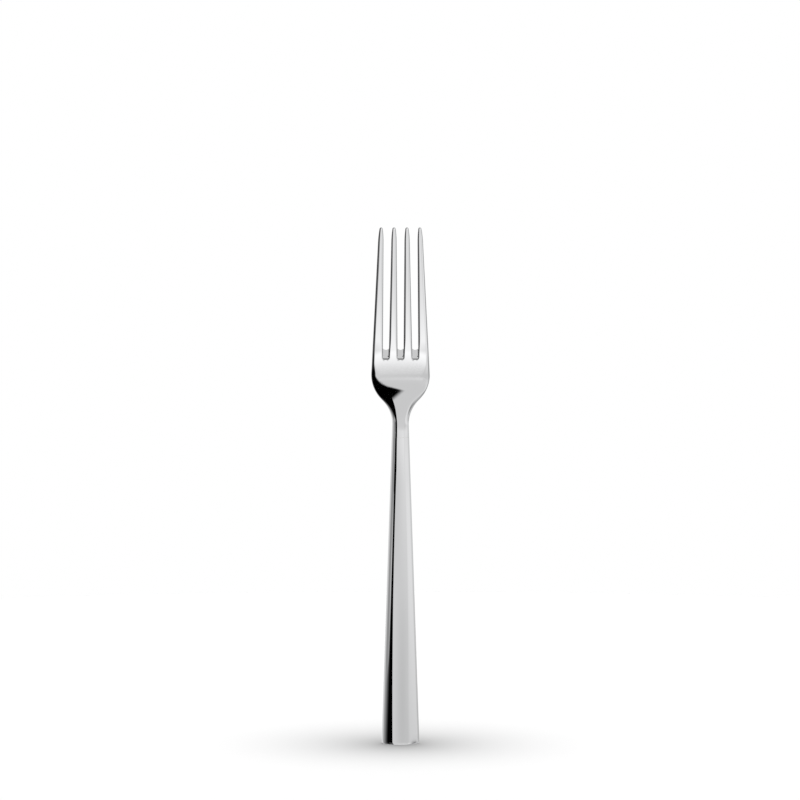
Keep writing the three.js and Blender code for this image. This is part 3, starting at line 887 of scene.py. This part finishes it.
def room_left(tree, up, round_angle):
    """The grey room left of the dark screen, darker low down, with a gleam beside the screen's edge."""
    screen_left = total(tree, step(tree, up, *SCREEN_LEFT_UP), step(tree, up, *SCREEN_LEFT_TOP_UP))
    past = reckon(tree, "SUBTRACT", screen_left, round_angle)
    faded = step(tree, reckon(tree, "DIVIDE", past, step(tree, up, *LEFT_FADE_UP)), 0, 1)
    grey = total(
        tree,
        product(tree, faded, step(tree, up, *LEFT_GREY_UP)),
        step(tree, round_angle, *LEFT_BACK_ROUND),
        product(tree, spot(tree, past, *GLEAM_PAST), spot(tree, up, *GLEAM_UP), GLEAM_LEVEL),
        product(tree, step(tree, up, *SCREEN_FOOT_UP), step(tree, round_angle, *SCREEN_FOOT_ROUND)),
    )
    return product(tree, grey, step(tree, up, *LOW_LEFT_UP))


def room_ahead(tree, up, round_angle):
    """Both walls, with the line on the horizon, the glow, and the dark camera on its stand."""
    to_right = step(tree, total(tree, round_angle, step(tree, up, *RIGHT_SHIFT_UP)), *RIGHT_ROUND)
    return total(
        tree,
        mixed(tree, to_right, wall_ahead(tree, up, round_angle), wall_right(tree, up, round_angle)),
        product(tree, step(tree, up, *LINE_FOOT_UP), step(tree, up, *LINE_UP),
                step(tree, round_angle, *LINE_ROUND)),
        product(tree, spot(tree, up, *GLOW_UP), step(tree, round_angle, *GLOW_ROUND),
                step(tree, round_angle, *GLOW_END_ROUND)),
        product(tree, spot(tree, up, *LENS_UP), spot(tree, round_angle, *LENS_ROUND), LENS_LEVEL),
        product(tree, step(tree, up, *STAND_UP), step(tree, round_angle, *STAND_ROUND),
                step(tree, round_angle, *STAND_END_ROUND)),
    )


def right_of_screen(tree, up, round_angle):
    """0 on the dark screen and beyond it, easing to 1 across the screen's slanting right edge."""
    screen_right = total(tree, product(tree, up, SCREEN_SLANT), step(tree, up, *SCREEN_RIGHT_UP),
                         step(tree, up, *SCREEN_TOP_UP))
    past_right = reckon(tree, "SUBTRACT", round_angle, screen_right)
    softened = reckon(tree, "DIVIDE", past_right, step(tree, up, *SCREEN_SOFT_UP))
    return step(tree, softened, -1, 1)


def studio():
    """White to the eye, even light for the floor, and for the steel a light room with a dark screen."""
    world = bpy.data.worlds.new("studio")
    bpy.context.scene.world = world
    world.use_nodes = True
    tree = world.node_tree
    background = tree.nodes["Background"]
    direction = node(tree, "ShaderNodeTexCoord").outputs["Generated"]
    parts = node(tree, "ShaderNodeSeparateXYZ", Vector=direction)
    toward = product(tree, parts.outputs["Y"], -1)
    round_angle = reckon(tree, "DEGREES", reckon(tree, "ARCTAN2", parts.outputs["X"], toward))
    up = reckon(tree, "DEGREES", reckon(tree, "ARCSINE", parts.outputs["Z"]))
    lit = mixed(tree, right_of_screen(tree, up, round_angle), room_left(tree, up, round_angle),
                room_ahead(tree, up, round_angle))
    lit = mixed(tree, step(tree, reckon(tree, "ABSOLUTE", round_angle), *BACK_ROUND), lit, BACK_LEVEL)
    rays = node(tree, "ShaderNodeLightPath")
    shown = mixed(tree, rays.outputs["Is Glossy Ray"], DIFFUSE_LIGHT, lit)
    eye = mixed(tree, rays.outputs["Is Camera Ray"], shown, 1)
    tree.links.new(eye, background.inputs["Strength"])
    background.inputs["Color"].default_value = (1, 1, 1, 1)


def camera():
    """Looks along +Y and slightly down, with a lens that makes FRAME_WIDTH fill the picture."""
    data = bpy.data.cameras.new("camera")
    data.sensor_width = SENSOR
    data.lens = SENSOR * CAMERA_DISTANCE / FRAME_WIDTH
    eye = bpy.data.objects.new("camera", data)
    eye.location = (CAMERA_ASIDE, -CAMERA_DISTANCE, CAMERA_HEIGHT)
    aim = Vector((CAMERA_ASIDE, 0, CAMERA_AIM)) - eye.location
    eye.rotation_euler = aim.to_track_quat("-Z", "Y").to_euler()
    bpy.context.collection.objects.link(eye)
    bpy.context.scene.camera = eye


def finish_piece(piece, material, replaced):
    """Gives a piece its finish, sets it on the body and puts it in the place of its solid."""
    piece.data.materials.append(material)
    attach(piece, "root")
    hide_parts(replaced)


steel = polished_steel()
braze = silver_braze()
finish_piece(head_skin("forged_head"), steel, "fork_head")
finish_piece(shell_skin("front_shell", FRONT_RIM, -1), steel, "handle_front_shell")
finish_piece(shell_skin("back_shell", BACK_RIM, 1), steel, "handle_back_shell")
finish_piece(neck_ring_skin("neck_ring"), braze, "neck_braze_ring")
for name, finish in (("seam_braze", braze), ("handle_filler", bedding_compound())):
    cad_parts[name].data.materials.clear()
    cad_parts[name].data.materials.append(finish)

white_floor()
studio()
camera()
bpy.context.scene.view_settings.view_transform = "Standard"
